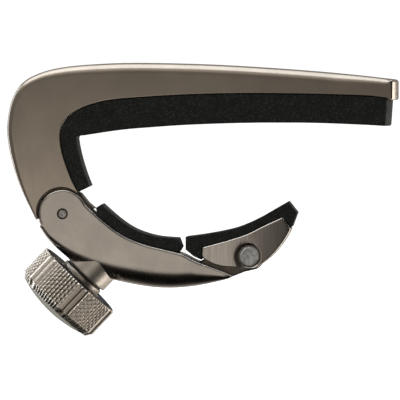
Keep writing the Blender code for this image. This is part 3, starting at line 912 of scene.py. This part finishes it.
def rivet_dish(side):
    """The rivet's hole on one side, with a shallow seat and hollow round it."""
    profile = [
        (0, -3.0),
        (RIVET_RADIUS + 0.06, -3.0),
        (RIVET_RADIUS + 0.07, -0.42),
        (RIVET_SEAT_RADIUS, -0.2),
        (RIVET_DISH_RADIUS - 0.2, -0.06),
        (RIVET_DISH_RADIUS + 0.5, 0.12),
        (RIVET_DISH_RADIUS + 0.5, 2.0),
        (0, 2.0),
    ]
    base = across(RIVET, side * RIVET_DISH_FACE)
    return solid(lathe("cutter", profile, base, (0, side, 0)))


def make_shoe():
    shoe = slab("capo_shoe", shoe_outline(), BODY_HALF, 6, 2)
    crown(shoe)
    solid(shoe)
    carve(shoe, plate(shoe_slot_outline(), SHOE_SLOT_HALF), rivet_dish(-1), rivet_dish(1))
    install(shoe, "shoe", "cast_metal", "shoe", "shoe")


def make_shoe_pad():
    outline = [
        (-19.32, -25.4),
        *smooth(SHOE_PAD_TOP),
        SHOE_PAD_LIP,
        (3.02, -18.04),
        (1.98, -20.8),
        (1.66, -20.9),
        (0.68, -19.4),
        *reversed(smooth(SHOE_TOP)),
        (-16.0, -25.0),
        (-16.12, -26.95),
        (-16.2, -27.42),
        (-17.7, -26.74),
    ]
    pad = slab("shoe_pad_rubber", with_fillet(outline, 0.2), SHOE_PAD_HALF, 4)
    crown(pad)
    install(pad, "shoe", "rubber", "rubber", "shoe_pad")


def make_rivet():
    """The rivet, with a slightly dished, round-edged head at either side."""
    head = [(0, 4.62), (0.7, 4.64), (1.5, 4.72), (1.8, 4.72), (1.93, 4.62)]
    edge = [(RIVET_RADIUS - 0.02, 4.4), (RIVET_RADIUS - 0.02, 4.18), (1.5, 4.16)]
    rivet = lathe("shoe_rivet_heads", both_ends([*head, *edge]), across(RIVET), (0, 1, 0))
    install(rivet, "shoe", "bright_steel", "rivet", "shoe_rivet")


# ---------------------------------------------------------------- knob


def wrapped(angle):
    return (angle + 180) % 360 - 180


def knurl_height(angle, along):
    """How far the grip's surface stands out at this angle in degrees and distance along the axis."""
    middles = [FLUTE_FIRST + 360 * i / FLUTES for i in range(FLUTES)]
    gap = min(abs(wrapped(angle - middle)) for middle in middles) / FLUTE_REACH
    if gap < FLUTE_HOLLOW:
        return -FLUTE_DEPTH * math.cos(math.pi / 2 * gap / FLUTE_HOLLOW) ** KNURL_BULGE
    if gap < 1.0:
        return -EDGE_DEPTH * max(0.0, (gap - FLUTE_EDGE) / (1.0 - FLUTE_EDGE)) ** 2
    turn = angle * KNURLS / 360
    ridge = (0.5 + 0.5 * math.cos(2 * math.pi * turn)) ** KNURL_BULGE
    row = along / DASH_PITCH + 0.5 * (math.floor(turn + 0.5) % 2)
    dash = min(1.0, DASH_STEEPNESS * abs(math.sin(math.pi * row)))
    return KNURL_DEPTH * (ridge * (DASH_FLOOR + (1.0 - DASH_FLOOR) * dash) - 1.0)


def grip_relief(angle, point):
    """The knurl at a profile point, whose third value is its share of the full relief."""
    share = point[2]
    if share == 0:
        return 0.0
    return share * knurl_height(angle, point[1] - KNOB_BACK)


def grip_profile():
    """The grip's section from its recessed back over the knurl to the cap's seat."""
    front = KNOB_BACK + KNOB_LENGTH
    nose = front + KNOB_CHAMFER
    recess = KNOB_BACK + 0.9
    back = [(5.0, KNOB_BACK + 0.05, 0), (5.4, recess, 0), (7.6, recess, 0), (8.0, KNOB_BACK, 0)]
    edge = [(KNOB_RADIUS - 0.45, KNOB_BACK, 0), (KNOB_RADIUS - 0.16, KNOB_BACK + 0.1, 0.5)]
    first = KNOB_BACK + 0.35
    knurl = []
    for i in range(KNURL_ROWS + 1):
        knurl.append((KNOB_RADIUS, first + (front - first) * i / KNURL_ROWS, 1.0))
    chamfer = []
    for i in range(1, CHAMFER_ROWS + 1):
        share = i / CHAMFER_ROWS
        radius = KNOB_RADIUS + (CAP_RADIUS + 0.22 - KNOB_RADIUS) * share
        chamfer.append((radius, front + KNOB_CHAMFER * share**1.3, 1.0 - 0.25 * share))
    seat = [(CAP_RADIUS + 0.1, nose - 0.05, 0), (CAP_RADIUS + 0.08, nose - 0.9, 0)]
    hole = [(SCREW_HOLE, nose - 0.95, 0), (SCREW_HOLE, KNOB_BACK + 0.05, 0)]
    return [*back, *edge, *knurl, *chamfer, *seat, *hole]


def make_knob_grip():
    columns = KNURLS * KNURL_COLUMNS
    grip = lathe(
        "knob_grip_knurled",
        grip_profile(),
        across(BOSS_FACE),
        screw_direction(-1),
        columns,
        ring=True,
        relief=grip_relief,
    )
    install(grip, "knob", "turned_metal", "grip", "knob_grip")
    # The first rings, the recessed back, take the near-black painted shade.
    grip.data.materials.append(LOOKS["grip_back"])
    for face in grip.data.polygons:
        face.material_index = int(face.index < columns * GRIP_PAINTED_SHADE_RINGS)


def make_knob_cap():
    nose = KNOB_BACK + KNOB_LENGTH + KNOB_CHAMFER
    sphere = (CAP_RADIUS**2 + CAP_RISE**2) / (2 * CAP_RISE)
    dome = []
    for i in range(25):
        radius = (CAP_RADIUS - 0.12) * i / 24
        dome.append((radius, nose + CAP_RISE - sphere + math.sqrt(sphere**2 - radius**2)))
    skirt = [(CAP_RADIUS, nose - 0.14), (CAP_RADIUS, nose - CAP_SINK), (0, nose - CAP_SINK)]
    cap = lathe("knob_cap_dome", [*dome, *skirt], across(BOSS_FACE), screw_direction(-1), 128)
    install(cap, "knob", "cap_metal", "cap", "knob_cap")


def make_knob_collar():
    back = [(SCREW_HOLE, COLLAR_BACK), (COLLAR_RADIUS, COLLAR_BACK)]
    front = [(COLLAR_RADIUS, COLLAR_FRONT), (SCREW_HOLE, COLLAR_FRONT)]
    profile = rounded([*back, *front], 0.22)
    collar = lathe("knob_collar_ring", profile, across(BOSS_FACE), screw_direction(-1), 128, ring=True)
    install(collar, "knob", "turned_metal", "collar", "knob_collar")


# ---------------------------------------------------------------- pieces that keep their CAD shape


def dress_cad():
    for node, look in (
        ("pivot_bush", "bronze"),
        ("boss_bush", "bronze"),
        ("return_spring", "spring"),
        ("barrel_nut", "steel"),
        ("adjusting_screw", "steel"),
        ("pivot_washer_front", "nylon"),
        ("pivot_washer_rear", "nylon"),
        ("shoe_washer_front", "nylon"),
        ("shoe_washer_rear", "nylon"),
        ("thrust_washer", "nylon"),
    ):
        for material_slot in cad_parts[node].material_slots:
            material_slot.material = LOOKS[look]


# ---------------------------------------------------------------- studio


# The camera looks along -Y, from far away. Lengths are in millimetres.
CAMERA_AZIMUTH = 3.0
CAMERA_ELEVATION = 1.3
CAMERA_DISTANCE = 1600.0
VIEW_WIDTH = 80.0
VIEW_CENTRE = (-16.4, -5.0, -15.46)

# In metres.
FLOOR_REACH = 6.0

WARM = (1.0, 0.97, 0.93)
COOL = (0.86, 0.96, 1.1)

# Each light: name, place, target, width, height, radiance and colour. Lengths are in metres.
CAPO_MIDDLE = (-0.016, 0.0, -0.012)
LIGHTS = [
    ("overhead", (-0.02, 0.02, 0.42), CAPO_MIDDLE, 0.9, 0.44, 1.8, COOL),
    ("left_rim", (-0.50, 0.19, 0.05), CAPO_MIDDLE, 0.10, 0.6, 4.5, COOL),
    ("right_rim", (0.50, 0.10, -0.10), CAPO_MIDDLE, 0.14, 0.6, 3.0, WARM),
    ("right_back", (0.40, 0.31, -0.02), CAPO_MIDDLE, 0.14, 0.25, 3.0, WARM),
    ("right_low", (0.36, -0.02, -0.34), CAPO_MIDDLE, 0.16, 0.4, 2.4, WARM),
    ("front_low_left", (-0.054, -0.15, -0.044), (-0.054, 0, -0.044), 0.092, 0.074, 0.46, WARM),
]

# How bright the room is at each height of a direction, from straight down at -1 to straight up at 1.
FRONT_ROOM = [(-1.0, 0.0), (-0.54, 0.0), (-0.34, 0.16), (0.0, 0.25), (0.4, 0.26), (0.75, 0.7), (1.0, 0.8)]
BACK_ROOM = [(-1.0, 0.0), (-0.9, 0.08), (-0.6, 0.55), (0.0, 0.32), (0.5, 0.32), (1.0, 0.5)]
ROOM_TINT = (1.0, 0.96, 0.91)
# The Y of a direction at which the front room gives way to the back room.
ROOM_JOIN = (-0.15, 0.35)
# The X of a direction at which the front room falls into shade, and how bright it stays there.
RIGHT_SIDE = (-0.06, 0.28)
RIGHT_SIDE_SHADE = 0.1
BACKDROP_STRENGTH = 1.05


def make_camera():
    data = bpy.data.cameras.new("camera")
    data.sensor_width = 36
    data.lens = data.sensor_width * CAMERA_DISTANCE / VIEW_WIDTH
    data.clip_start = 0.05
    data.clip_end = 50
    camera = add_object("camera", data)
    a, e = math.radians(CAMERA_AZIMUTH), math.radians(CAMERA_ELEVATION)
    back = Vector((math.sin(a) * math.cos(e), -math.cos(a) * math.cos(e), math.sin(e)))
    camera.location = (Vector(VIEW_CENTRE) + back * CAMERA_DISTANCE) * MM
    camera.rotation_mode = "QUATERNION"
    camera.rotation_quaternion = (-back).to_track_quat("-Z", "Y")
    bpy.context.scene.camera = camera


def make_lights():
    """Rectangular lights, each with its radiance given."""
    for name, location, target, width, height, radiance, colour in LIGHTS:
        data = bpy.data.lights.new(name, "AREA")
        data.shape = "RECTANGLE"
        data.size = width
        data.size_y = height
        data.energy = radiance * math.pi * width * height
        data.color = colour
        light = add_object(name, data)
        light.location = location
        light.rotation_mode = "QUATERNION"
        light.rotation_quaternion = (Vector(target) - Vector(location)).to_track_quat("-Z", "Y")


def room_ramp(tree, height, stops):
    """The room's brightness by the height of a direction."""
    ramp = tree.node("ShaderNodeValToRGB")
    ramp.color_ramp.interpolation = "EASE"
    while len(ramp.color_ramp.elements) < len(stops):
        ramp.color_ramp.elements.new(0.5)
    for element, (at, level) in zip(ramp.color_ramp.elements, stops):
        element.position = (at + 1) / 2
        element.color = (*scaled(ROOM_TINT, level), 1.0)
    tree.join(tree.spread(height, -1.0, 1.0), ramp.inputs["Fac"])
    return ramp.outputs["Color"]


def make_world():
    """A dim room for reflections, dark in front below and paler behind. The camera sees white."""
    world = bpy.data.worlds.new("studio")
    bpy.context.scene.world = world
    world.use_nodes = True
    world.node_tree.nodes.clear()
    tree = NodeTree(world.node_tree)
    split = tree.node("ShaderNodeSeparateXYZ")
    tree.join(tree.node("ShaderNodeTexCoord").outputs["Generated"], split.inputs["Vector"])
    x, y, z = (split.outputs[axis] for axis in "XYZ")
    shade = tree.ease(x, *RIGHT_SIDE, 1.0, RIGHT_SIDE_SHADE)
    front = tree.blend(1.0, room_ramp(tree, z, FRONT_ROOM), shade)
    front.node.blend_type = "MULTIPLY"
    room = tree.node("ShaderNodeBackground")
    behind = tree.ease(y, *ROOM_JOIN)
    tree.join(tree.blend(behind, front, room_ramp(tree, z, BACK_ROOM)), room.inputs["Color"])
    white = tree.node("ShaderNodeBackground")
    white.inputs["Color"].default_value = (1, 1, 1, 1)
    white.inputs["Strength"].default_value = BACKDROP_STRENGTH
    choose = tree.node("ShaderNodeMixShader")
    tree.join(tree.node("ShaderNodeLightPath").outputs["Is Camera Ray"], choose.inputs["Fac"])
    tree.join(room.outputs["Background"], choose.inputs[1])
    tree.join(white.outputs["Background"], choose.inputs[2])
    tree.join(choose.outputs["Shader"], tree.node("ShaderNodeOutputWorld").inputs["Surface"])


def make_floor():
    """A white sheet under the capo, which takes no part in its lighting."""
    lowest = CAD_BOX[0].z
    corners = [(x, y, lowest) for x, y in ((-1, -1), (1, -1), (1, 1), (-1, 1))]
    mesh = bpy.data.meshes.new("floor")
    mesh.from_pydata([(x * FLOOR_REACH, y * FLOOR_REACH, z) for x, y, z in corners], [], [(0, 1, 2, 3)])
    floor = add_object("floor", mesh)
    n = Nodes("floor_paper")
    body = n.blend(n.noise(30, 2.0), (0.86, 0.86, 0.86), (0.90, 0.90, 0.90))
    n.join(body, n.shader.inputs["Base Color"])
    n.shader.inputs["Roughness"].default_value = 0.9
    n.shader.inputs["Emission Color"].default_value = (1, 1, 1, 1)
    n.shader.inputs["Emission Strength"].default_value = 0.8
    mesh.materials.append(n.material)
    floor.visible_glossy = False
    floor.visible_shadow = False
    floor.visible_diffuse = False


make_frame()
make_string_pad()
make_arm()
make_arm_boss()
make_arm_pad()
make_pin()
make_shoe()
make_shoe_pad()
make_rivet()
make_knob_grip()
make_knob_cap()
make_knob_collar()
dress_cad()
make_floor()
make_world()
make_lights()
make_camera()
bpy.context.scene.view_settings.view_transform = "Standard"
